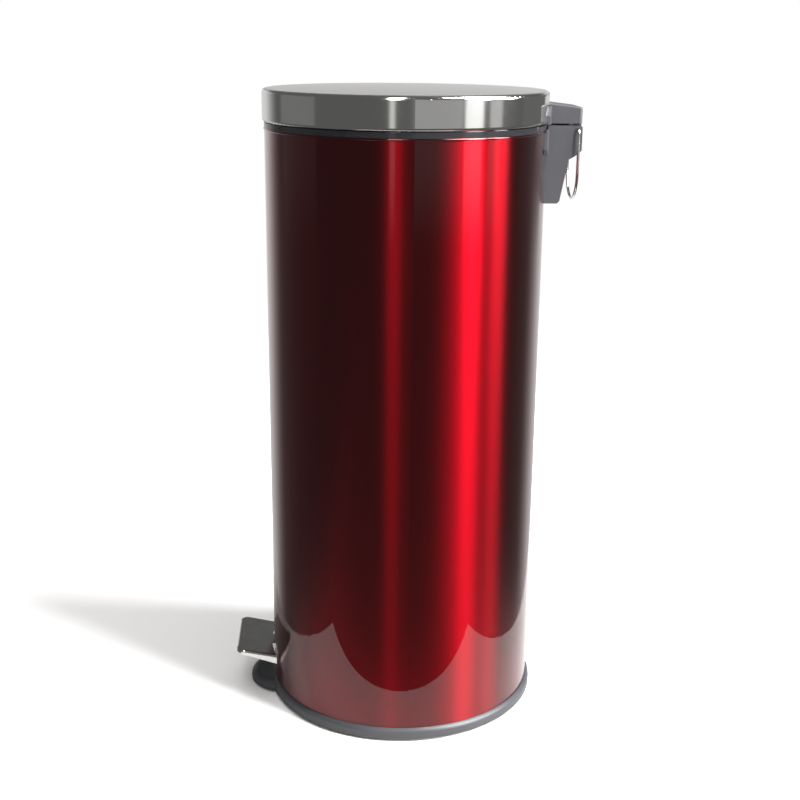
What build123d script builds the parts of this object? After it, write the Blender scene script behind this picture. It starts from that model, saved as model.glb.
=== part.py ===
from build123d import *
import math
import os

# A tall round pedal bin. A thin lacquered steel shell stands on a moulded base, a steel lid is
# hinged at the back, and a foot pedal's lever pushes a hidden rod up to the lid. A wire ring
# hangs at the hinge for carrying, and a moulded bucket hangs inside from a collar.
# Millimetres. Z is the bin's own axis and Z = 0 is the floor. The pedal points along -Y, and
# the hinge is at +Y. "Reach" is a distance from the Z axis, and "half" is half a width in X.

# ---- Shell ----
shell_radius = 146.0
shell_wall = 0.7
shell_top = 631.0
shell_bottom = 7.0
bead_radius = 1.0

# ---- Base ----
base_lip = 4.3
base_underside = 2.0
base_height = 15.0
base_edge_round = 6.0
base_heel_round = 2.0
groove_clearance = 0.2
inner_wall = 3.8
inner_wall_top = 20.0
floor_underside = 5.0
floor_thickness = 3.0
lobe_radius = 41.0
lobe_setback = 18.3
lobe_height = 14.0
lobe_round = 8.0
foot_radius = 9.0
foot_reach = 118.0
base_screw_radius = 1.6
base_screw_head_radius = 3.2
base_screw_head = 1.8
base_screw_height = 11.5
base_screw_bite = 2.0
base_screw_angles = (45, 135, 225, 315)

# ---- Collar in the shell's mouth ----
collar_band = 5.8
collar_proud = 0.2
collar_skirt = 18.0
collar_skirt_wall = 3.3
collar_clearance = 0.15
ledge_thickness = 3.0
ledge_width = 8.7
spigot_height = 5.2
spigot_wall = 2.2
spigot_setback = 2.8
buffer_height = 3.0
buffer_half_angle = 2.5

# ---- Lid ----
lid_overhang = 2.0
lid_wall = 0.8
lid_skirt = 32.6
lid_dome = 2.5
lid_edge_round = 4.0
lid_curl_round = 3.0
lid_curl_width = 4.1
lid_gap = 0.6
liner_plate = 1.6
liner_gap = 0.2
liner_wall = 2.4
liner_setback = 0.5
lid_open = 80.0

# ---- Hinge ----
pin_reach = 31.0
pin_drop = 6.1
pin_radius = 1.75
block_half = 26.0
block_wall = 2.8
block_lift = 6.2
block_front_height = 20.2
block_back_height = 16.2
block_seat = 5.0
lug_root = 1.3
saddle_wall = 2.8
saddle_half = 46.0
saddle_height = 17.5
saddle_corner = 9.0
knuckle_radius = 3.6
block_corner = 3.0
block_top_round = 1.5
knuckle_width = 7.6
cheek_wall = 6.0
cheek_gap = 0.4
pin_seat = 2.3
ear_recess = 1.5
ear_recess_reach = 5.0
bracket_top = 4.2
bracket_back = 4.3
bracket_height = 79.8
bracket_wall = 2.8
bracket_round = 3.0
ear_depth = 25.5
ear_undercut = 6.3
ear_undercut_drop = 5.5
waist_in = 13.3
waist_drop = 9.0
toe_in = 21.3
toe_round = 2.5
bracket_floor = 5.0
back_wall_drop = 5.4
bead_clearance = 0.3
flange_wall = 3.0
flange_half = 47.0
flange_height = 25.0
flange_top = 0.7
flange_corner = 6.0
screw_radius = 2.0
screw_head_radius = 3.5
screw_head = 2.2
screw_boss_radius = 4.2
screw_bite = 9.0
screw_seat_gap = 0.1
screw_angle = 6.3
screw_from_top = 27.5
screw_from_bottom = 9.0
lid_screw_lift = 9.5
plate_wall = 1.0
plate_half_angle = 9.5
plate_margin = 3.0

# ---- Lifting rod ----
rod_radius = 2.0
rod_lift = 22.3
rod_gap = 6.3
rod_arm = 16.3
rod_tip_drop = 7.6
rod_jog_below_hinge = 38.0
rod_jog_bend = 8.0
rod_hook_bend = 3.0
lug_half = 3.0
lug_side_gap = 1.5
lug_wall = 2.3
slot_clearance = 0.35
clip_radius = 3.5
clip_thickness = 1.7
clip_gap = 1.2
foot_ball_radius = 4.0
foot_sleeve_radius = 3.4
foot_sleeve = 10.0
foot_gap = 0.4
guide_half = 8.0
guide_height = 16.0
guide_clearance = 0.3
guide_heights = (190.0, 420.0)
guide_inset = 10.0
slot_side_gap = 1.0

# ---- Pedal ----
pivot_y = -22.0
pivot_z = 30.0
pivot_radius = 2.5
running_clearance = 0.05
lever_top = 41.0
lever_half = 12.0
lever_wall = 2.5
lever_rib = 4.0
lever_cheek_reach = 22.0
lever_end_gap = 2.0
lever_slot_gap = 2.5
lever_cheek_radius = 7.0
lever_side_gap = 0.4
ear_wall = 4.5
ear_radius = 7.0
clip_ring_radius = 4.5
clip_ring_wall = 1.0
tread_half = 43.5
tread_length = 38.1
tread_gap = 2.5
tread_slope = 12.0
tread_inner_height = 50.0
tread_wall = 1.2
tread_corner = 10.0
tread_edge_round = 3.0
tread_outer_skirt = 5.0
tread_inner_skirt = 10.5
tread_curl = 12.0

# ---- Carrying ring ----
ring_wire = 1.5
ring_half = 28.5
ring_drop = 72.5
ring_bend = 3.0
ring_clearance = 0.08

# ---- Bucket ----
bucket_bottom = 76.0
bucket_bottom_radius = 122.0
bucket_wall = 2.0
bucket_clearance = 0.7
bucket_corner = 8.0
bucket_flange = 2.5
bucket_rim = 2.7
bucket_rim_height = 9.0
bucket_seat_gap = 0.3
bail_wire = 1.75
bail_gap = 0.3
bail_inset = 1.0

# ---- Sizes that follow ----
shell_inside = shell_radius - shell_wall
bead_bottom = shell_top - 2 * bead_radius
groove_inside = shell_inside - groove_clearance
base_radius = shell_radius + base_lip
base_inside = groove_inside - inner_wall
collar_top = shell_top + collar_band
lid_radius = shell_radius + lid_overhang
lid_inside = lid_radius - lid_wall
lid_bottom = collar_top + lid_gap
lid_top = lid_bottom + lid_skirt
hinge_y = shell_radius + pin_reach
hinge_z = lid_bottom - pin_drop
bracket_bottom = hinge_z + bracket_top - bracket_height
bracket_screw_heights = (bracket_bottom + screw_from_bottom, hinge_z + bracket_top - screw_from_top)
cheek_inside = block_half - cheek_wall
ear_outside = block_half - ear_recess
spigot_radius = shell_radius - spigot_setback
spigot_inside = spigot_radius - spigot_wall
spigot_top = collar_top + spigot_height
ledge_inside = spigot_radius - ledge_width
liner_radius = lid_radius - lid_curl_width - liner_setback
liner_bottom = spigot_top + buffer_height + bail_gap
liner_top = lid_top - lid_wall - liner_gap
rod_y = shell_inside - rod_gap
rod_tip_y = hinge_y - rod_arm
rod_tip_z = hinge_z - rod_tip_drop
lug_left = rod_radius + lug_side_gap
lug_right = lug_left + 2 * lug_half
pedal_swing = math.degrees(math.atan(rod_lift / (rod_y - pivot_y)))
tread_inner_y = -(shell_radius + tread_gap)
tread_outer_y = tread_inner_y - tread_length
tread_drop = tread_wall / math.cos(math.radians(tread_slope))
bucket_top_radius = ledge_inside - bucket_clearance
bucket_flange_radius = spigot_inside - bucket_clearance
bail_radius = (bucket_top_radius + bucket_clearance + bucket_flange_radius) / 2
bucket_seat = collar_top + bucket_seat_gap
bail_z = bucket_seat + bucket_flange + bail_gap + bail_wire
pin_end = cheek_inside + pin_seat
ring_end = pin_end + 0.4
pivot_end = lever_half + lever_side_gap + ear_wall + 2 * clip_ring_wall
foot_ball_z = lever_top + foot_gap + foot_ball_radius
rod_end = lug_right + clip_gap + clip_thickness + 0.8
far = 4 * shell_top


def turned(outline):
    """A solid turned about Z from (radius, height) points."""
    return revolve(Plane.XZ * make_face(Polyline(*outline, close=True)), Axis.Z)


def tube(outside, inside, low, high):
    """A ring about Z between two radii and two heights."""
    return turned([(inside, low), (outside, low), (outside, high), (inside, high)])


def disc(radius, low, high, x=0, y=0):
    """An upright round bar or disc."""
    return Pos(x, y, low) * Cylinder(radius, high - low, align=(Align.CENTER, Align.CENTER, Align.MIN))


def block(x_low, x_high, y_low, y_high, z_low, z_high):
    """A plain box between two corners."""
    size = (x_high - x_low, y_high - y_low, z_high - z_low)
    return Pos(x_low, y_low, z_low) * Box(*size, align=(Align.MIN, Align.MIN, Align.MIN))


def side_solid(face, x_low, x_high):
    """A (Y, Z) face pulled along X."""
    return extrude(Plane.YZ.offset(x_low) * face, amount=x_high - x_low)


def side_plate(outline, x_low, x_high):
    """A plate along X from (Y, Z) points."""
    return side_solid(make_face(Polyline(*outline, close=True)), x_low, x_high)


def front_plate(outline):
    """A long bar along Y from (X, Z) points, for trimming."""
    return extrude(Plane.XZ * make_face(Polyline(*outline, close=True)), amount=far, both=True)


def cross_pin(radius, x_low, x_high, y, z):
    """A round bar along X."""
    bar = Cylinder(radius, x_high - x_low, align=(Align.CENTER, Align.CENTER, Align.MIN))
    return Pos(x_low, y, z) * Rot(0, 90, 0) * bar


def radial_pin(radius, near, far_end, angle, height):
    """A round bar that points away from the Z axis. Angle 0 is the back, +Y."""
    bar = Cylinder(radius, far_end - near, align=(Align.CENTER, Align.CENTER, Align.MIN))
    return Rot(0, 0, -angle) * Pos(0, near, height) * Rot(-90, 0, 0) * bar


def back_sector(outside, inside, low, high, half_angle):
    """The part of a ring within an angle of the back."""
    reach = 2 * outside
    spread = reach * math.tan(math.radians(half_angle))
    wedge = make_face(Polyline((0, 0), (-spread, reach), (spread, reach), close=True))
    return tube(outside, inside, low, high) & extrude(Pos(0, 0, low) * wedge, amount=high - low)


def rounded(face, corner, radius):
    """A face with the corner nearest to a point rounded."""
    nearest = min(face.vertices(), key=lambda v: (v.X - corner[0]) ** 2 + (v.Y - corner[1]) ** 2)
    return fillet(nearest, radius)


def from_hinge(outline):
    """(Y, Z) points given from the hinge pin's axis."""
    return [(hinge_y + y, hinge_z + z) for y, z in outline]


def every_screw():
    """The angle and height of each screw that holds the bracket."""
    return [(angle, height) for height in bracket_screw_heights for angle in (-screw_angle, screw_angle)]


def rod_slot():
    """The upright slot that the rod's jog rises through."""
    middle = rod_jog_z() + (shell_radius - rod_y)
    half = rod_radius + slot_side_gap
    play = half * 2 ** 0.5 + slot_side_gap
    return block(-half, half, 0, far, middle - play, middle + play + rod_lift)


def rod_jog_z():
    """The height at which the rod turns outwards, at rest."""
    return hinge_z - rod_jog_below_hinge - (rod_tip_y - rod_y)


def lever_slope_z(y):
    """The height of the lever's sloping top at its front."""
    rise = (tread_inner_y - y) * math.tan(math.radians(tread_slope))
    return tread_inner_height - tread_drop + rise


def lever_bend_y():
    """Where the lever's flat top meets its sloping front."""
    return tread_inner_y - (lever_top - lever_slope_z(tread_inner_y)) / math.tan(math.radians(tread_slope))


# ---- Root body ----
def body_shell():
    """A rolled and seam-welded tube with a small bead round its mouth."""
    wall = tube(shell_radius, shell_inside, shell_bottom, shell_top)
    bead_section = Plane.XZ * Pos(shell_radius, shell_top - bead_radius) * Circle(bead_radius)
    bead = revolve(bead_section, Axis.Z) - disc(shell_inside, bead_bottom, lid_top)
    half = lever_half + lever_slot_gap
    shell = wall + bead
    shell -= block(-half, half, -far, 0, 0, lever_slope_z(-shell_radius) + lever_slot_gap / 2)
    shell -= rod_slot()
    for angle, height in every_screw():
        shell -= radial_pin(screw_radius, shell_inside - 5, far, angle, height)
    for angle in base_screw_angles:
        shell -= radial_pin(base_screw_radius, shell_inside - 5, far, angle, base_screw_height)
    return shell


def pivot_ear(x_low):
    """One upright ear that holds an end of the pedal's pivot pin."""
    foot = floor_underside + floor_thickness - 1
    low_y = pivot_y - ear_radius
    high_y = pivot_y + ear_radius
    plate = block(x_low, x_low + ear_wall, low_y, high_y, foot, pivot_z)
    return plate + cross_pin(ear_radius, x_low, x_low + ear_wall, pivot_y, pivot_z)


def base():
    """The moulded foot: a grooved rim, a floor, a lobe under the pedal and two pivot ears."""
    corners = [(base_inside, base_underside), (base_radius, base_underside),
               (base_radius, base_height), (base_inside, base_height)]
    section = make_face(Polyline(*corners, close=True))
    section = rounded(section, corners[2], base_edge_round)
    section = rounded(section, corners[1], base_heel_round)
    moulding = revolve(Plane.XZ * section, Axis.Z)
    lobe = disc(lobe_radius, base_underside, lobe_height, 0, lobe_setback - base_radius)
    lobe = fillet(lobe.edges().group_by(Axis.Z)[-1], lobe_round)
    moulding += lobe
    moulding += disc(base_inside + 1, floor_underside, floor_underside + floor_thickness)
    moulding += tube(groove_inside, base_inside, base_underside, inner_wall_top)
    moulding -= tube(shell_radius + groove_clearance, groove_inside, shell_bottom, lid_top)
    ear_x = lever_half + lever_side_gap
    moulding += pivot_ear(ear_x)
    moulding += pivot_ear(-ear_x - ear_wall)
    moulding -= cross_pin(pivot_radius, -far, far, pivot_y, pivot_z)
    tip = shell_radius + groove_clearance + base_screw_bite
    for angle in base_screw_angles:
        moulding -= radial_pin(base_screw_radius, base_inside - 1, tip, angle, base_screw_height)
    return moulding


def rubber_feet():
    """Four feet near the rim and one in the middle, under the pivot's load."""
    feet = [disc(foot_radius, 0, floor_underside)]
    step = foot_reach * math.cos(math.radians(45))
    for x in (-step, step):
        for y in (-step, step):
            feet.append(disc(foot_radius, 0, floor_underside, x, y))
    return Compound(feet)


def base_screws():
    """Four screws from inside, through the base's inner wall and the shell, into the rim."""
    tip = shell_radius + groove_clearance + base_screw_bite
    seat = base_inside - screw_seat_gap
    screws = []
    for angle in base_screw_angles:
        shank = radial_pin(base_screw_radius, seat - 0.5, tip, angle, base_screw_height)
        head = radial_pin(base_screw_head_radius, seat - base_screw_head, seat, angle, base_screw_height)
        screws.append(shank + head)
    return Compound(screws)


def rim_collar():
    """The dark band under the lid: a skirt inside the shell, a ledge for the bucket, a spigot."""
    skirt_outside = shell_inside - collar_clearance
    skirt_inside = skirt_outside - collar_skirt_wall
    return turned([
        (skirt_inside, shell_top - collar_skirt), (skirt_outside, shell_top - collar_skirt),
        (skirt_outside, shell_top), (shell_radius + collar_proud, shell_top),
        (shell_radius + collar_proud, collar_top), (spigot_radius, collar_top),
        (spigot_radius, spigot_top), (spigot_inside, spigot_top), (spigot_inside, collar_top),
        (ledge_inside, collar_top), (ledge_inside, collar_top - ledge_thickness),
        (skirt_inside, collar_top - ledge_thickness)])


def rim_buffers():
    """Four short rubber pads on the spigot that quieten the lid."""
    top = spigot_top + buffer_height
    buffer = back_sector(spigot_radius, spigot_inside, spigot_top, top, buffer_half_angle)
    return Compound([Rot(0, 0, angle) * buffer for angle in (45, 135, 225, 315)])


def bracket_outline(inset, top, bottom, front):
    """The bracket's side outline from the pin, moved in by a wall: ear, undercut, waist and toe."""
    back = bracket_back - inset
    ear_bottom = bracket_top - ear_depth
    return [
        (-front, top), (back, top), (back, ear_bottom),
        (back - ear_undercut, ear_bottom - ear_undercut_drop),
        (back - waist_in, ear_bottom - waist_drop),
        (back - toe_in, bottom + toe_round), (back - toe_in - toe_round, bottom), (-front, bottom)]


def hinge_bracket():
    """The hollow lower half of the hinge: two cheeks, flanges round the shell and screw bosses."""
    bottom = bracket_top - bracket_height
    front = pin_reach + 20
    outer = bracket_outline(0, bracket_top, bottom, front)
    face = make_face(Polyline(*from_hinge(outer), close=True))
    face = rounded(face, from_hinge(outer)[1], bracket_round)
    bracket = side_solid(face, -block_half, block_half)
    hollow = bracket_outline(bracket_wall, bracket_top + 5, bottom + bracket_floor, front)
    bracket -= side_plate(from_hinge(hollow), -cheek_inside, cheek_inside)
    window = [(-front, -back_wall_drop), (far, -back_wall_drop), (far, far), (-front, far)]
    bracket -= side_plate(from_hinge(window), -cheek_inside, cheek_inside)
    for side in (-1, 1):
        low, high = sorted((side * ear_outside, side * (block_half + 1)))
        bracket -= block(low, high, hinge_y - ear_recess_reach, far, 0, far)
    low = hinge_z + flange_top - flange_height
    high = hinge_z + flange_top
    flange = tube(shell_radius + flange_wall, shell_radius, low, high) & front_plate([
        (-flange_half, low + flange_corner), (flange_corner - flange_half, low),
        (flange_half - flange_corner, low), (flange_half, low + flange_corner),
        (flange_half, high), (-flange_half, high)])
    flange -= block(-far, far, -far, 0, 0, far)
    flange -= block(-cheek_inside, cheek_inside, 0, far, 0, far)
    bracket += flange
    screw_tip = shell_radius + screw_bite
    for angle, height in every_screw():
        bracket += radial_pin(screw_boss_radius, shell_inside - 1, screw_tip + 1, angle, height)
    bracket -= disc(shell_radius, 0, lid_top)
    bracket -= disc(shell_radius + bead_radius + bead_clearance, bead_bottom - bead_clearance, lid_top)
    for angle, height in every_screw():
        bracket -= radial_pin(screw_radius, shell_inside - 1, screw_tip, angle, height)
    bracket -= cross_pin(pin_radius, -pin_end, pin_end, hinge_y, hinge_z)
    bracket -= cross_pin(ring_wire + ring_clearance, -block_half, block_half, hinge_y, hinge_z)
    return bracket


def backing_plate():
    """A curved steel strap inside the shell, under the bracket's screw heads."""
    low = bracket_bottom + plate_margin
    high = shell_top - collar_skirt - 1
    plate = back_sector(shell_inside, shell_inside - plate_wall, low, high, plate_half_angle)
    plate -= rod_slot()
    for angle, height in every_screw():
        plate -= radial_pin(screw_radius, shell_inside - 5, far, angle, height)
    return plate


def bracket_screws():
    """Four screws from inside the shell into the bracket's bosses."""
    seat = shell_inside - plate_wall - screw_seat_gap
    screws = []
    for angle, height in every_screw():
        shank = radial_pin(screw_radius, seat - 0.5, shell_radius + screw_bite, angle, height)
        head = radial_pin(screw_head_radius, seat - screw_head, seat, angle, height)
        screws.append(shank + head)
    return Compound(screws)


def rod_guides():
    """Two moulded saddles on the shell's inside that keep the rod upright."""
    guides = []
    for height in guide_heights:
        low = height - guide_height / 2
        high = height + guide_height / 2
        saddle = block(-guide_half, guide_half, rod_y - guide_inset / 2, far, low, high)
        saddle &= disc(shell_inside, low, high)
        guides.append(saddle - disc(rod_radius + guide_clearance, low, high, 0, rod_y))
    return Compound(guides)


def hinge_pin():
    """The steel pin that the lid's knuckles turn on."""
    return cross_pin(pin_radius, -pin_end, pin_end, hinge_y, hinge_z)


def pedal_pivot_pin():
    """The steel pin across the base's ears."""
    return cross_pin(pivot_radius, -pivot_end, pivot_end, pivot_y, pivot_z)


def pivot_clips():
    """A ring clip at each end of the pedal's pivot pin."""
    near = lever_half + lever_side_gap + ear_wall
    clips = []
    for low in (near, -near - clip_ring_wall):
        ring = cross_pin(clip_ring_radius, low, low + clip_ring_wall, pivot_y, pivot_z)
        clips.append(ring - cross_pin(pivot_radius, -far, far, pivot_y, pivot_z))
    return Compound(clips)


# ---- Lid ----
def lid_outline(inset):
    """Half the lid's section, moved in by a wall: a low dome, a rounded edge and a curled skirt."""
    radius = lid_radius - inset
    bottom = lid_bottom + inset
    dome_radius = (lid_radius ** 2 + lid_dome ** 2) / (2 * lid_dome)
    dome_centre = lid_top + lid_dome - dome_radius

    def on_dome(reach):
        return (reach, dome_centre + math.sqrt((dome_radius - inset) ** 2 - reach ** 2))
    lines = Polyline(on_dome(0), (0, bottom), (radius, bottom), on_dome(radius))
    face = make_face(lines + ThreePointArc(on_dome(radius), on_dome(radius / 2), on_dome(0)))
    face = rounded(face, on_dome(radius), lid_edge_round - inset)
    return rounded(face, (radius, bottom), lid_curl_round - inset)


def lid_shell():
    """The pressed steel lid."""
    lid = revolve(Plane.XZ * lid_outline(0), Axis.Z) - revolve(Plane.XZ * lid_outline(lid_wall), Axis.Z)
    lid -= disc(lid_radius - lid_curl_width, lid_bottom - 1, lid_bottom + lid_wall + 0.1)
    for angle in (-screw_angle, screw_angle):
        lid -= radial_pin(screw_radius, lid_inside - 5, far, angle, lid_bottom + lid_screw_lift)
    return lid


def lid_liner():
    """A moulded pan inside the lid whose rim comes down over the buffers."""
    inside = liner_radius - liner_wall
    low = liner_top - liner_plate
    return turned([
        (0, low), (inside, low), (inside, liner_bottom), (liner_radius, liner_bottom),
        (liner_radius, liner_top), (0, liner_top)])


def block_top(y):
    """The height of the hinge block's sloping top above the pin."""
    fall = (block_front_height - block_back_height) / (pin_reach - lid_overhang + knuckle_radius)
    return block_lift + block_back_height + (knuckle_radius - y) * fall


def tip_in_lid(share):
    """Where the rod's tip lies from the pin, in the lid's own frame, when it is partly open."""
    turn = math.radians(lid_open * share)
    y = -rod_arm
    z = share * rod_lift - rod_tip_drop
    return Vector(y * math.cos(turn) - z * math.sin(turn), y * math.sin(turn) + z * math.cos(turn))


def lug_track():
    """The ends of the lug's slot, and how far the rod's tip strays from the line between them."""
    places = [tip_in_lid(step / 8) for step in range(9)]
    upper = sum(places[:5], Vector()) / 5
    lower = places[-1]
    along = (lower - upper).normalized()
    strays = []
    for place in places:
        travel = max(0, (place - upper).dot(along))
        strays.append((place - upper - along * travel).length)
    return upper, lower, max(strays)


def capsule(start, end, radius):
    """A face with round ends, given by two points from the pin."""
    axis = end - start
    middle = (start + end) / 2
    angle = math.degrees(math.atan2(axis.Y, axis.X))
    place = Pos(hinge_y + middle.X, hinge_z + middle.Y) * Rot(0, 0, angle)
    return place * SlotCenterToCenter(axis.length, 2 * radius)


def lift_lug():
    """The lug that the rod's hooked end pushes, with a slot for the hook."""
    upper, lower, stray = lug_track()
    slot_radius = rod_radius + slot_clearance + stray
    half = slot_radius + lug_wall
    root = block_lift + block_back_height + lug_root
    stem = make_face(Polyline(*from_hinge([
        (upper.X - half, upper.Y), (upper.X + half, upper.Y),
        (upper.X + half, root), (upper.X - half, root)]), close=True))
    lug = side_solid(capsule(upper, lower, half), lug_left, lug_right)
    lug += side_solid(stem, lug_left, lug_right)
    return lug - side_solid(capsule(upper, lower, slot_radius), lug_left - 1, lug_right + 1)


def hinge_block():
    """The upper half of the hinge: a hollow block with a saddle on the lid, knuckles and the lug."""
    front = -pin_reach - 10
    face = make_face(Polyline(*from_hinge([
        (front, block_lift), (knuckle_radius, block_lift),
        (knuckle_radius, block_top(knuckle_radius)), (front, block_top(front))]), close=True))
    moulding = side_solid(face, -block_half, block_half)
    moulding = fillet(moulding.edges().filter_by(Axis.Z).group_by(Axis.Y)[-1], block_corner)
    moulding = fillet(moulding.edges().group_by(Axis.Y)[-1].sort_by(Axis.Z)[-1], block_top_round)
    seat = lid_overhang + block_seat - pin_reach
    back = knuckle_radius - block_wall
    hollow = from_hinge([
        (seat, 0), (back, 0), (back, block_top(back) - block_wall), (seat, block_top(seat) - block_wall)])
    moulding -= side_plate(hollow, block_wall - block_half, block_half - block_wall)
    low = hinge_z + block_lift
    high = low + saddle_height
    saddle = tube(lid_radius + saddle_wall, lid_radius, low, high) & front_plate([
        (-saddle_half, low), (saddle_half, low), (saddle_half, high - saddle_corner),
        (saddle_half - saddle_corner, high), (saddle_corner - saddle_half, high),
        (-saddle_half, high - saddle_corner)])
    moulding += saddle - block(-far, far, -far, 0, 0, far)
    knuckle_end = cheek_inside - cheek_gap
    knuckle_front = hinge_y - knuckle_radius
    knuckle_top = hinge_z + block_lift + block_back_height - block_wall / 2
    for low_x in (-knuckle_end, knuckle_end - knuckle_width):
        high_x = low_x + knuckle_width
        moulding += cross_pin(knuckle_radius, low_x, high_x, hinge_y, hinge_z)
        moulding += block(low_x, high_x, knuckle_front, hinge_y + knuckle_radius, hinge_z, knuckle_top)
    moulding += lift_lug()
    height = lid_bottom + lid_screw_lift
    tip = lid_radius + screw_bite
    for angle in (-screw_angle, screw_angle):
        moulding += radial_pin(screw_boss_radius, lid_radius + 1, tip + 1, angle, height)
        moulding -= radial_pin(screw_radius, lid_inside, tip, angle, height)
    moulding -= disc(lid_radius, 0, far)
    return moulding - cross_pin(pin_radius + running_clearance, -far, far, hinge_y, hinge_z)


def lid_screws():
    """Two screws from inside the lid's skirt into the hinge block."""
    height = lid_bottom + lid_screw_lift
    seat = lid_inside - screw_seat_gap
    screws = []
    for angle in (-screw_angle, screw_angle):
        shank = radial_pin(screw_radius, seat - 0.5, lid_radius + screw_bite, angle, height)
        screws.append(shank + radial_pin(screw_head_radius, seat - screw_head, seat, angle, height))
    return Compound(screws)


# ---- Lifting rod ----
def lift_rod():
    """A bent wire: up inside the shell, out through its slot, up to the lug and across."""
    path = FilletPolyline(
        (0, rod_y, foot_ball_z), (0, rod_y, rod_jog_z()),
        (0, rod_tip_y, hinge_z - rod_jog_below_hinge), (0, rod_tip_y, rod_tip_z),
        (rod_end, rod_tip_y, rod_tip_z), radius=[rod_jog_bend, rod_jog_bend, rod_hook_bend])
    return sweep(Plane(path @ 0, z_dir=path % 0) * Circle(rod_radius), path)


def rod_foot():
    """A nylon ball foot that stands on the lever."""
    ball = Pos(0, rod_y, foot_ball_z) * Sphere(foot_ball_radius)
    sleeve = disc(foot_sleeve_radius, foot_ball_z, foot_ball_z + foot_sleeve, 0, rod_y)
    return ball + sleeve - disc(rod_radius, foot_ball_z, lid_top, 0, rod_y)


def rod_clip():
    """A push-on washer that keeps the hook in the lug."""
    near = lug_right + clip_gap
    washer = cross_pin(clip_radius, near, near + clip_thickness, rod_tip_y, rod_tip_z)
    return washer - cross_pin(rod_radius, 0, far, rod_tip_y, rod_tip_z)


# ---- Pedal ----
def lever_plate(top, bottom, front_y, x_low, x_high):
    """A strip along the lever between two depths under its top, bent up at the front."""
    bend = lever_bend_y()
    rear = shell_inside - lever_end_gap
    front_z = lever_slope_z(front_y)
    return side_plate([
        (rear, lever_top - top), (bend, lever_top - top), (front_y, front_z - top),
        (front_y, front_z - bottom), (bend, lever_top - bottom), (rear, lever_top - bottom)], x_low, x_high)


def pedal_lever():
    """A pressed channel from the tread, across the pivot, to the rod's foot."""
    front_y = tread_outer_y + tread_curl - 4
    lever = lever_plate(0, lever_wall, front_y, -lever_half, lever_half)
    rib_bottom = lever_wall + lever_rib
    cheek_top = lever_top - lever_wall
    for x_low in (-lever_half, lever_half - lever_wall):
        x_high = x_low + lever_wall
        lever += lever_plate(lever_wall / 2, rib_bottom, front_y, x_low, x_high)
        lever += side_plate([
            (pivot_y - lever_cheek_reach, cheek_top), (pivot_y - lever_cheek_radius, pivot_z),
            (pivot_y + lever_cheek_radius, pivot_z), (pivot_y + lever_cheek_reach, cheek_top)], x_low, x_high)
        lever += cross_pin(lever_cheek_radius, x_low, x_high, pivot_y, pivot_z)
    return lever - cross_pin(pivot_radius + running_clearance, -far, far, pivot_y, pivot_z)


def tread_wedge(inset, depth_outer, depth_inner):
    """The space between the tread's sloping top and a lower slope."""
    slope = math.tan(math.radians(tread_slope))
    inner_y = tread_inner_y + tread_curl
    outer_top = tread_inner_height + tread_length * slope
    inner_top = tread_inner_height - tread_curl * slope
    return side_plate([
        (inner_y, inner_top - inset), (tread_outer_y, outer_top - inset),
        (tread_outer_y, outer_top - depth_outer), (inner_y, inner_top - depth_inner)], -far, far)


def tread_block(inset):
    """The tread's outside, or its inside moved in by a wall, hollowed to follow the shell."""
    half = tread_half - inset
    length = tread_length / math.cos(math.radians(tread_slope)) - inset
    bar = block(-half, half, -length, tread_curl, -2 * tread_inner_skirt, -inset)
    bar = fillet(bar.edges().filter_by(Axis.Z).group_by(Axis.Y)[0], tread_corner - inset)
    rim = bar.faces().sort_by(Axis.Z)[-1].edges().sort_by(Axis.Y)[:-1]
    bar = fillet(rim, tread_edge_round - inset)
    bar = Pos(0, tread_inner_y, tread_inner_height) * Rot(-tread_slope, 0, 0) * bar
    return bar - disc(shell_radius + tread_gap + inset, 0, far)


def pedal_tread():
    """The polished steel tread: a sloping plate with a skirt turned down all round."""
    tread = tread_block(0) & tread_wedge(-tread_drop, tread_outer_skirt, tread_inner_skirt)
    tread -= tread_block(tread_wall)
    gate_half = tread_half - tread_curl
    gate = block(-gate_half, gate_half, tread_inner_y - 2 * tread_wall, 0, 0, far)
    return tread - (gate & tread_wedge(tread_drop, far, far))


# ---- Carrying ring ----
def carry_ring():
    """A bent wire with a half-round bottom, whose ends sit in the bracket's cheeks."""
    low = hinge_z - ring_drop
    legs = [
        FilletPolyline(
            (side * ring_end, hinge_y, hinge_z), (side * ring_half, hinge_y, hinge_z),
            (side * ring_half, hinge_y, low + ring_half), radius=ring_bend)
        for side in (-1, 1)]
    bow = ThreePointArc(legs[0] @ 1, (0, hinge_y, low), legs[1] @ 1)
    path = Wire(legs[0].edges() + bow.edges() + legs[1].edges())
    return sweep(Plane(path @ 0, z_dir=path % 0) * Circle(ring_wire), path)


# ---- Bucket ----
def bucket():
    """A tapered moulded pail with a flange that hangs on the collar's ledge."""
    rim_top = bucket_seat + bucket_rim_height
    rim_outside = bucket_top_radius + bucket_clearance
    rim_inside = rim_outside - bucket_rim
    flange_top = bucket_seat + bucket_flange
    floor = bucket_bottom + bucket_wall
    face = make_face(Polyline(
        (0, bucket_bottom), (bucket_bottom_radius, bucket_bottom), (bucket_top_radius, bucket_seat),
        (bucket_flange_radius, bucket_seat), (bucket_flange_radius, flange_top),
        (rim_outside, flange_top), (rim_outside, rim_top), (rim_inside, rim_top),
        (bucket_bottom_radius - bucket_wall, floor), (0, floor), close=True))
    face = rounded(face, (bucket_bottom_radius, bucket_bottom), bucket_corner)
    face = rounded(face, (bucket_bottom_radius - bucket_wall, floor), bucket_corner - bucket_wall)
    pail = revolve(Plane.XZ * face, Axis.Z)
    return pail - cross_pin(bail_wire + bail_gap, -far, far, 0, bail_z)


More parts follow.
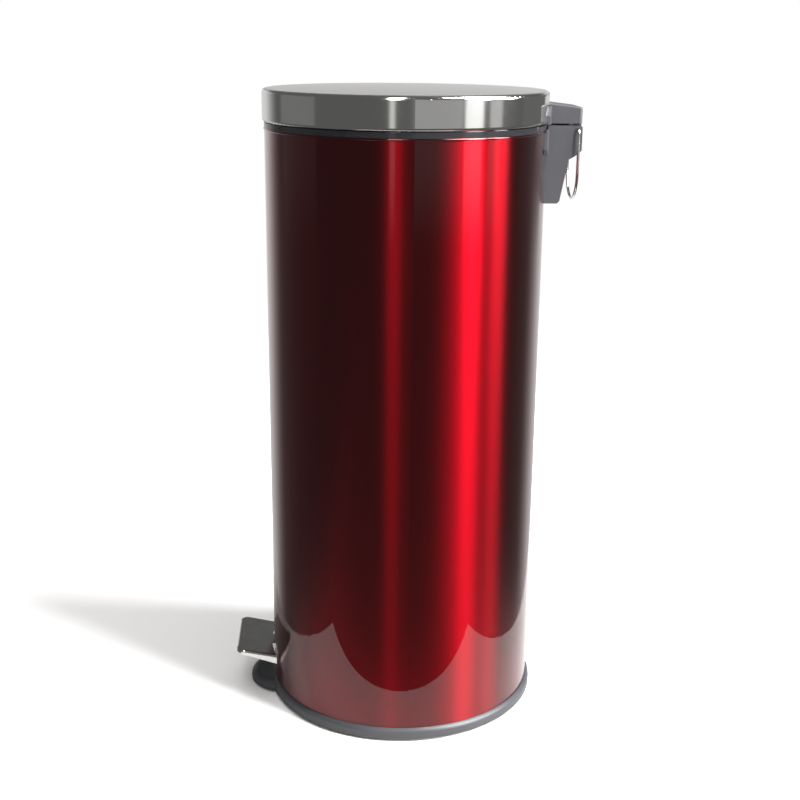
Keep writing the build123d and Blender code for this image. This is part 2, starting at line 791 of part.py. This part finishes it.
def bucket_bail():
    """A half-round wire that lies in the bucket's rim and lifts it out."""
    section = Plane.XZ * Pos(bail_radius, bail_z) * Circle(bail_wire)
    wire = revolve(section, Axis.Z) - block(-far, far, 0, far, 0, far)
    end = bucket_top_radius + bucket_clearance - bucket_rim - bail_inset
    for side in (-1, 1):
        low, high = sorted((side * end, side * bail_radius))
        wire += cross_pin(bail_wire, low, high, 0, bail_z)
        wire += Pos(side * bail_radius, 0, bail_z) * Sphere(bail_wire)
    return wire


# ---- Write every piece ----
pieces = (
    body_shell, base, rubber_feet, base_screws, rim_collar, rim_buffers, hinge_bracket,
    backing_plate, bracket_screws, rod_guides, hinge_pin, pedal_pivot_pin, pivot_clips,
    lid_shell, lid_liner, hinge_block, lid_screws, lift_rod, rod_foot, rod_clip,
    pedal_lever, pedal_tread, carry_ring, bucket, bucket_bail)
os.makedirs("parts", exist_ok=True)
for piece in pieces:
    export_step(piece(), f"parts/{piece.__name__}.step")
    print("wrote", piece.__name__)
print(f"lid opens {lid_open} degrees, rod rises {rod_lift} mm, pedal swings {pedal_swing:.3f} degrees")
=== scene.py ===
# %% [markdown]
# # A pedal bin in red lacquered steel
#
# The bin is a tall round shell of thin steel under a clear red lacquer. It stands in a black moulded
# base, and a pressed steel lid closes it. A pedal at the front lifts a rod that tips the lid open on
# a moulded hinge at the back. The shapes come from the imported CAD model, which is loaded first and
# is never moved. This script adds the finishes, the light and the camera.

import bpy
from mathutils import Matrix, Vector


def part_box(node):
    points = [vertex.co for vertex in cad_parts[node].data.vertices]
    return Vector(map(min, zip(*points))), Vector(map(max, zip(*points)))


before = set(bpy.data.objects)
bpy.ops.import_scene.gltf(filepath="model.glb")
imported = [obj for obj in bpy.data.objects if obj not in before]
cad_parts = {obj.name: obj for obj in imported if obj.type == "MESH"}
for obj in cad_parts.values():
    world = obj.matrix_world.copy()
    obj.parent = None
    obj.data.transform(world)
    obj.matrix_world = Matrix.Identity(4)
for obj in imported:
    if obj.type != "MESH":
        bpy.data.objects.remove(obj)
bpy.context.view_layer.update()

# %% [markdown]
# ## Tools for the whole script
#
# Sizes read better in millimetres, and Blender works in metres, so one short function converts them.
# The lid, the collar and the base are turned about the Z axis, which runs up the middle of the bin.

# %% Imports and units
import math

import bpy
from mathutils import Matrix, Vector


def mm(size):
    """A size in millimetres, as metres."""
    return size / 1000


lid_low, lid_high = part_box("lid_shell")
print("lid from", round(lid_low.z, 4), "to", round(lid_high.z, 4), "in height")

# %% [markdown]
# ## Where the bin is seen from
#
# A tall product is shown from a little above, so that the lid reads as a thin ellipse and the base as
# a wide one. The camera stands 1.34 m from the bin's axis and 0.73 m up, and looks down by about 16
# degrees. It is placed by its own three directions: to the right, up and back. It looks at the bin
# from its right, which puts the pedal on the left of the view and the hinge on the right.

# %% Camera
view_turn = math.radians(86.5)
camera_distance = 1.3427
camera_height = 0.7286
camera_tilt = math.radians(16.31)
camera_pan = math.radians(-0.12)
camera_roll = math.radians(0.55)
camera_lens = 57.0

rightward = Vector((math.cos(view_turn), math.sin(view_turn), 0))
onward = Vector((-math.sin(view_turn), math.cos(view_turn), 0))
upward = Vector((0, 0, 1))


def set_camera():
    """A camera that looks at the bin from its right side."""
    level = onward * math.cos(camera_pan) + rightward * math.sin(camera_pan)
    forward = level * math.cos(camera_tilt) - upward * math.sin(camera_tilt)
    side = forward.cross(upward).normalized()
    top = side.cross(forward)
    turned_side = side * math.cos(camera_roll) + top * math.sin(camera_roll)
    turned_top = top * math.cos(camera_roll) - side * math.sin(camera_roll)
    lens = bpy.data.cameras.new("camera")
    lens.lens = camera_lens
    lens.sensor_width = 36
    lens.clip_end = 100
    camera = bpy.data.objects.new("camera", lens)
    bpy.context.scene.collection.objects.link(camera)
    turn = Matrix((turned_side, turned_top, -forward)).transposed().to_4x4()
    place = upward * camera_height - onward * camera_distance
    camera.matrix_world = Matrix.Translation(place) @ turn
    bpy.context.scene.camera = camera
    return camera


camera = set_camera()
print("camera at", [round(v, 3) for v in camera.matrix_world.translation])

# %% [markdown]
# ## Writing node maths as Python
#
# A finish is a small network of nodes. Wiring each sum by hand hides what it means, so a class wraps
# an output socket and turns `mask * 0.2 + 1` into Math nodes. A second class holds a node tree and
# adds any other node from its type, its settings and its inputs.

# %% Number: a socket that can be added and multiplied
class Number:
    """A value in a node tree. Python's operators add Math nodes."""

    def __init__(self, tree, socket):
        self.tree = tree
        self.socket = socket

    def math(self, operation, first, second=None):
        inputs = {0: first}
        if second is not None:
            inputs[1] = second
        return self.tree.add("ShaderNodeMath", {"operation": operation}, inputs)

    def __add__(self, other):
        return self.math("ADD", self, other)

    def __radd__(self, other):
        return self.math("ADD", other, self)

    def __sub__(self, other):
        return self.math("SUBTRACT", self, other)

    def __rsub__(self, other):
        return self.math("SUBTRACT", other, self)

    def __mul__(self, other):
        return self.math("MULTIPLY", self, other)

    def __rmul__(self, other):
        return self.math("MULTIPLY", other, self)

    def __truediv__(self, other):
        return self.math("DIVIDE", self, other)

    def __rtruediv__(self, other):
        return self.math("DIVIDE", other, self)

    def __pow__(self, other):
        return self.math("POWER", self, other)

    def __abs__(self):
        return self.math("ABSOLUTE", self)


# %% Tree: adds nodes from a type, settings and inputs
class Tree:
    """A node tree that is filled by short calls."""

    def __init__(self, nodes):
        self.nodes = nodes.nodes
        self.links = nodes.links
        self.nodes.clear()

    def node(self, kind, settings, inputs):
        made = self.nodes.new(kind)
        for name, value in settings.items():
            setattr(made, name, value)
        for name, value in inputs.items():
            if isinstance(value, Number):
                self.links.new(value.socket, made.inputs[name])
            else:
                made.inputs[name].default_value = value
        return made

    def add(self, kind, settings=None, inputs=None, output=0):
        made = self.node(kind, settings or {}, inputs or {})
        return Number(self, made.outputs[output])

    def mix(self, share, first, second):
        """A colour between two colours."""
        settings = {"data_type": "RGBA"}
        return self.add("ShaderNodeMix", settings, {0: share, 6: first, 7: second}, 2)

    def ease(self, value, low, high, first=0.0, last=1.0):
        """Goes smoothly from first to last as value goes from low to high."""
        settings = {"interpolation_type": "SMOOTHSTEP"}
        return self.add("ShaderNodeMapRange", settings, {0: value, 1: low, 2: high, 3: first, 4: last})

    def noise(self, vector, scale, detail=2.0, roughness=0.5):
        """Soft random values from 0 to 1."""
        inputs = {"Vector": vector, "Scale": scale, "Detail": detail, "Roughness": roughness}
        return self.add("ShaderNodeTexNoise", {"noise_dimensions": "3D"}, inputs)


# %% Colours
def tinted(colour, share, lift=0.0):
    """A colour times a share, with a little added, and the alpha that sockets want."""
    return (*[channel * share + lift for channel in colour], 1)


print("node helpers ready")

# %% [markdown]
# ## The studio that the steel reflects
#
# Polished metal has no colour of its own to show: it shows what stands round it. So the studio is
# plain, with a dim surround in front of the bin, a pale backdrop behind it and six soft neutral
# panels. A direction is split into an angle round the bin, from the camera's side and positive to
# the right, and a height above the horizon. Each panel has a name, the angle of its middle, half its
# width and its brightness, all chosen in round numbers. The camera sees plain white past the bin.

# %% The panels
panels = [
    ("left card", -95, 20, 0.20),
    ("front strip light", -10, 2, 0.80),
    ("front fill card", 25, 20, 0.40),
    ("key softbox", 55, 8, 1.20),
    ("second softbox", 75, 6, 0.55),
    ("right card", 125, 20, 0.15),
]
panel_softness = 3
dim_surround = (0.12, 0.12, 0.12, 1)
pale_backdrop = (0.75, 0.75, 0.75, 1)
print("panels:", len(panels))

# %% Draw the studio in the world's nodes
world = bpy.data.worlds.new("studio")
bpy.context.scene.world = world
world.use_nodes = True
studio = Tree(world.node_tree)
direction = studio.add("ShaderNodeTexCoord", output="Generated")


def along(axis):
    """How far the looked-at direction goes along an axis."""
    return studio.add("ShaderNodeVectorMath", {"operation": "DOT_PRODUCT"}, {0: direction, 1: axis}, 1)


def degrees(angle):
    """An angle in radians, as degrees."""
    return angle * (180 / math.pi)


rise = degrees(along(upward).math("ARCSINE", along(upward)))
around = degrees(along(upward).math("ARCTAN2", along(rightward), along(-onward)))


def with_panels(colour):
    """The surround with the upright panels painted over it."""
    for name, middle, half, brightness in panels:
        inner = half - panel_softness / 2
        mask = studio.ease(abs(around - middle), inner, inner + panel_softness, 1.0, 0.0)
        colour = studio.mix(mask, colour, (brightness, brightness, brightness, 1))
    return colour


backdrop = studio.ease(abs(around), 120, 150) * studio.ease(rise, 10, 20, 1.0, 0.0)
surround = studio.mix(backdrop, dim_surround, pale_backdrop)
upright = studio.ease(rise, -10, -5) * studio.ease(rise, 10, 20, 1.0, 0.0)
lit_surround = studio.mix(upright, surround, with_panels(surround))
print("studio nodes:", len(studio.nodes))

# %% The backdrop and the world's output
seen = studio.add("ShaderNodeLightPath", output="Is Camera Ray")
shown = studio.mix(seen, lit_surround, (1.0, 1.0, 1.0, 1))
background = studio.add("ShaderNodeBackground", {}, {"Color": shown, "Strength": 1.0})
studio.node("ShaderNodeOutputWorld", {}, {"Surface": background})
bpy.context.scene.view_settings.view_transform = "Standard"
print("world nodes:", len(studio.nodes))

# %% [markdown]
# ## Floor and lamps
#
# The bin stands on a plain white floor that fades into the white backdrop. A large floor would also
# fill the lower half of every reflection, and the lacquer would look milky all the way up. So the
# floor is seen and catches shadows, but reflections see a smaller grey sheet in its place, which ends
# a hand's width in front of the bin. That sheet gives the pale scallops round the foot of the shell.
#
# Three tall lamps stand high on the right and in front. They never mirror in the level lacquer, and
# yet the brushed steel under it smears them into long bright streaks. A wide lamp overhead, which
# reflections don't see, fills the shadows.

# %% Floor and reflected sheet
def flat_sheet(name, corners):
    """A level sheet on the floor through corners."""
    mesh = bpy.data.meshes.new(name)
    mesh.from_pydata(corners, [], [tuple(range(len(corners)))])
    sheet = bpy.data.objects.new(name, mesh)
    bpy.context.scene.collection.objects.link(sheet)
    return sheet


def on_floor(across, toward, height=0.0):
    """A point on the floor, measured across the view and toward the camera."""
    return rightward * across - onward * toward + upward * height


floor_reach = 4.0
floor_fade = (0.9, 2.4)
floor_sink = mm(0.5)
square = ((-1, 1), (1, 1), (1, -1), (-1, -1))
floor = flat_sheet("floor", [on_floor(x * floor_reach, y * floor_reach, -floor_sink) for x, y in square])
floor.visible_glossy = False
sheet_half_width = 0.30
sheet_front = 0.25
sheet_back = -1.0
sheet_corners = (
    (-sheet_half_width, sheet_front), (sheet_half_width, sheet_front),
    (sheet_half_width, sheet_back), (-sheet_half_width, sheet_back))
card = flat_sheet("reflected_sheet", [on_floor(x, y, -floor_sink / 2) for x, y in sheet_corners])
card.visible_camera = False
card.visible_diffuse = False
card.visible_shadow = False
card.visible_transmission = False
print("floor and sheet:", floor.name, card.name)


# %% Plain finishes for the stage
def matt(name, colour, fade=None):
    """A plain matt finish, which can fade away between two distances from the bin."""
    finish = bpy.data.materials.new(name)
    finish.use_nodes = True
    tree = Tree(finish.node_tree)
    place = tree.add("ShaderNodeTexCoord", output="Object")
    tint = tree.mix(tree.noise(place, 40.0, 3.0), tinted(colour, 0.985), tinted(colour, 1.0))
    shader = tree.add("ShaderNodeBsdfDiffuse", {}, {"Color": tint})
    if fade:
        reach = tree.add("ShaderNodeVectorMath", {"operation": "LENGTH"}, {0: place}, 1)
        clear = tree.add("ShaderNodeBsdfTransparent")
        shader = tree.add("ShaderNodeMixShader", {}, {0: tree.ease(reach, *fade), 1: shader, 2: clear})
    tree.node("ShaderNodeOutputMaterial", {}, {"Surface": shader})
    return finish


floor.data.materials.append(matt("pale_floor", (0.90, 0.90, 0.90), floor_fade))
card.data.materials.append(matt("pale_sheet", (0.40, 0.40, 0.40)))
print("stage finishes ready")


# %% Lamps
aim = Vector((0, 0, 0.4))


def lamp(name, turn, rise, distance, size, power, colour):
    """A soft lamp aimed at the bin, at an angle round it from the camera's side."""
    light = bpy.data.lights.new(name, "AREA")
    light.shape = "RECTANGLE"
    light.size, light.size_y = size
    light.energy = power
    light.color = colour
    turn = math.radians(turn)
    rise = math.radians(rise)
    level = rightward * math.sin(turn) - onward * math.cos(turn)
    away = level * math.cos(rise) + upward * math.sin(rise)
    facing = away.to_track_quat("Z", "Y").to_matrix().to_4x4()
    lamp_object = bpy.data.objects.new(name, light)
    bpy.context.scene.collection.objects.link(lamp_object)
    lamp_object.matrix_world = Matrix.Translation(aim + away * distance) @ facing
    lamp_object.visible_camera = False
    return lamp_object


tall_lamps = [
    ("window_lamp", 57, 0.80, 330, (1.0, 0.99, 0.97)),
    ("second_window_lamp", 82, 0.72, 210, (1.0, 0.99, 0.97)),
    ("narrow_front_lamp", -8, 0.55, 30, (1.0, 0.97, 0.92)),
]
tall_rise = 34
tall_distance = 3.0
tall_height = 3.2
for name, turn, width, power, colour in tall_lamps:
    lamp(name, turn, tall_rise, tall_distance, (width, tall_height), power, colour)
fill = lamp("overhead_fill", 0, 89, 4.0, (5.0, 5.0), 170, (1.0, 1.0, 1.0))
fill.visible_glossy = False

# %% [markdown]
# ## Finishes
#
# Each finish is one Principled shader. What changes over the surface goes into its colour, its
# roughness or its bump, and numbers that stay the same are set on the shader itself. Patterns are
# read from Object coordinates, so they stay with the piece when it moves.

# %% The start of every finish
def new_finish(name):
    """An empty material, its tree and its Object coordinates."""
    finish = bpy.data.materials.new(name)
    finish.use_nodes = True
    tree = Tree(finish.node_tree)
    return finish, tree, tree.add("ShaderNodeTexCoord", output="Object")


def stretched(tree, place, factors):
    """Object coordinates scaled along each axis, so that a noise is drawn out into lines."""
    return tree.add("ShaderNodeVectorMath", {"operation": "MULTIPLY"}, {0: place, 1: factors})


def shade(tree, inputs):
    """The Principled shader and the material's output."""
    shader = tree.add("ShaderNodeBsdfPrincipled", {}, inputs)
    tree.node("ShaderNodeOutputMaterial", {}, {"Surface": shader})


def bump(tree, height, depth, strength=1.0):
    """A normal from a height field, whose full height is depth in metres."""
    return tree.add("ShaderNodeBump", {}, {"Height": height, "Distance": depth, "Strength": strength})


finishes = {}
print("finish helpers ready")

# %% [markdown]
# ### Red lacquer on brushed steel
#
# Two layers are seen at once. The steel was brushed round the shell, so it spreads light up and down
# in long streaks, and the translucent lacquer dyes those streaks red. The lacquer's own face is
# smooth and clear, and mirrors the room and the floor faintly. The shader's metal is the lower layer,
# with its roughness drawn out by Anisotropic, and its coat is the upper layer. The thin shell isn't
# perfectly true, so a very shallow, tall wave bends both reflections a little.

# %% Red lacquer
deep_red = (0.105, 0.0004, 0.0022)
bright_red = (0.215, 0.0009, 0.0048)


def red_lacquer():
    """Brushed steel seen through a clear red lacquer."""
    finish, tree, place = new_finish("red_lacquer")
    hairlines = tree.noise(stretched(tree, place, (1, 1, 18)), 260.0, 3.0, 0.6)
    clouds = tree.noise(stretched(tree, place, (1, 1, 0.25)), 14.0, 2.0)
    speckle = tree.noise(place, 2600.0, 1.0)
    depth = hairlines * 0.22 + clouds * 0.35 + speckle * 0.25
    colour = tree.mix(depth, tinted(deep_red, 1.0), tinted(bright_red, 1.0))
    waves = tree.noise(stretched(tree, place, (1, 1, 0.22)), 22.0, 1.0)
    fine = tree.noise(stretched(tree, place, (1, 1, 0.12)), 160.0, 1.0)
    normal = bump(tree, waves + fine * 0.06, mm(0.10))
    shade(tree, {
        "Base Color": colour, "Metallic": 1.0, "Roughness": 0.31 + hairlines * 0.04,
        "Anisotropic": 1.0, "Anisotropic Rotation": 0.25, "Coat Weight": 1.0,
        "Coat Roughness": 0.015, "Coat IOR": 1.5, "Normal": normal})
    return finish


finishes["red_lacquer"] = red_lacquer()
print("lacquer:", finishes["red_lacquer"].name)

# %% [markdown]
# ### Polished steel
#
# The lid was pressed and then polished. Its skirt was turned against the polishing wheel, which left
# hair-fine lines round it. Its top is a satin that goes pale under any light. One finish serves both,
# because its roughness changes with the height on the lid.

# %% Polished steel
lid_edge = mm(1.6)
lid_roll = mm(2.5)


def polished_steel(name, top_height, top_roughness, skirt_roughness):
    """Polished steel whose top, above top_height, is rougher than its skirt."""
    finish, tree, place = new_finish(name)
    height = tree.add("ShaderNodeSeparateXYZ", {}, {0: place}, "Z")
    on_top = tree.ease(height, top_height - lid_edge, top_height)
    lines = tree.noise(stretched(tree, place, (1, 1, 60)), 60.0, 3.0, 0.6)
    wheel = tree.noise(stretched(tree, place, (0.6, 22, 1)), 60.0, 2.0, 0.6)
    smears = tree.noise(place, 12.0, 3.0)
    roughness = skirt_roughness + on_top * (top_roughness - skirt_roughness)
    roughness = roughness + lines * 0.03 + smears * 0.04
    colour = tree.mix(smears * 0.5 + wheel * 0.2, (0.66, 0.655, 0.63, 1), (0.80, 0.80, 0.785, 1))
    normal = bump(tree, lines + wheel * on_top, mm(0.004))
    shade(tree, {
        "Base Color": colour, "Metallic": 1.0, "Roughness": roughness, "Normal": normal})
    return finish


finishes["lid_steel"] = polished_steel("lid_steel", lid_high.z - lid_roll, 0.27, 0.06)
print("steel: a satin top above a polished skirt")

# %% [markdown]
# ### Moulded plastics and rubber
#
# The mould for the base and the hinge was spark-eroded, so the plastic has a fine satin grain. The
# collar under the lid came out of a polished mould and is glossy. Rubber is matt and a little dusty.

# %% Plastics
def moulded(name, colour, roughness, grain_size, grain_depth, dust=0.0):
    """A moulded plastic or rubber with a grain of grain_size, in metres."""
    finish, tree, place = new_finish(name)
    grain = tree.noise(place, 1 / grain_size, 2.0, 0.6)
    wear = tree.noise(place, 18.0, 4.0, 0.6)
    dark = tinted(colour, 0.86)
    pale = tinted(colour, 1.12, dust)
    shade(tree, {
        "Base Color": tree.mix(wear, dark, pale),
        "Roughness": roughness - 0.04 + wear * 0.08 + grain * 0.05,
        "IOR": 1.48, "Normal": bump(tree, grain, grain_depth)})
    return finish


moulded_finishes = {
    "moulding": ((0.034, 0.035, 0.040), 0.40, mm(0.5), mm(0.012)),
    "pail_moulding": ((0.030, 0.031, 0.034), 0.34, mm(0.7), mm(0.010)),
    "collar": ((0.012, 0.012, 0.014), 0.10, mm(0.8), mm(0.002)),
    "rubber": ((0.022, 0.022, 0.023), 0.72, mm(0.6), mm(0.02), 0.006),
    "nylon": ((0.74, 0.73, 0.68), 0.38, mm(0.6), mm(0.006)),
}
for name, settings in moulded_finishes.items():
    finishes[name] = moulded(name, *settings)
print("plastics:", list(moulded_finishes))


# %% Bare metals
def bare_metal(name, colour, roughness, lines_along, depth):
    """Zinc plate or drawn wire, with fine lines drawn out along one axis."""
    finish, tree, place = new_finish(name)
    lines = tree.noise(stretched(tree, place, lines_along), 240.0, 2.0, 0.6)
    stain = tree.noise(place, 70.0, 3.0)
    shade(tree, {
        "Base Color": tree.mix(stain, tinted(colour, 0.82), tinted(colour, 1.0)), "Metallic": 1.0,
        "Roughness": roughness + stain * 0.08 + lines * 0.05, "Normal": bump(tree, lines, depth)})
    return finish


bare_finishes = {
    "tread_steel": ((0.70, 0.69, 0.67), 0.10, (1, 12, 1), mm(0.004)),
    "zinc": ((0.62, 0.63, 0.64), 0.24, (1, 1, 1), mm(0.01)),
    "bright_wire": ((0.78, 0.78, 0.77), 0.08, (1, 1, 0.1), mm(0.003)),
}
for name, settings in bare_finishes.items():
    finishes[name] = bare_metal(name, *settings)
print("metals:", list(bare_finishes))

# %% [markdown]
# ## Dressing the CAD pieces
#
# Every piece whose shape is already right keeps its mesh and gets its finish here, by name.

# %% Give each node its finish
dressing = {
    "body_shell": "red_lacquer", "lid_shell": "lid_steel", "pedal_tread": "tread_steel",
    "base": "moulding", "hinge_bracket": "moulding", "hinge_block": "moulding",
    "lid_liner": "pail_moulding", "bucket": "pail_moulding", "rim_collar": "collar",
    "rim_buffers": "rubber", "rubber_feet": "rubber",
    "rod_guides": "nylon", "rod_foot": "nylon", "backing_plate": "zinc", "bracket_screws": "zinc",
    "base_screws": "zinc", "lid_screws": "zinc", "hinge_pin": "zinc", "pedal_pivot_pin": "zinc",
    "pivot_clips": "zinc", "lift_rod": "zinc", "rod_clip": "zinc", "pedal_lever": "zinc",
    "carry_ring": "bright_wire", "bucket_bail": "bright_wire",
}
for node, finish in dressing.items():
    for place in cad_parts[node].material_slots:
        place.material = finishes[finish]
print("dressed", len(dressing), "of", len(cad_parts), "nodes")
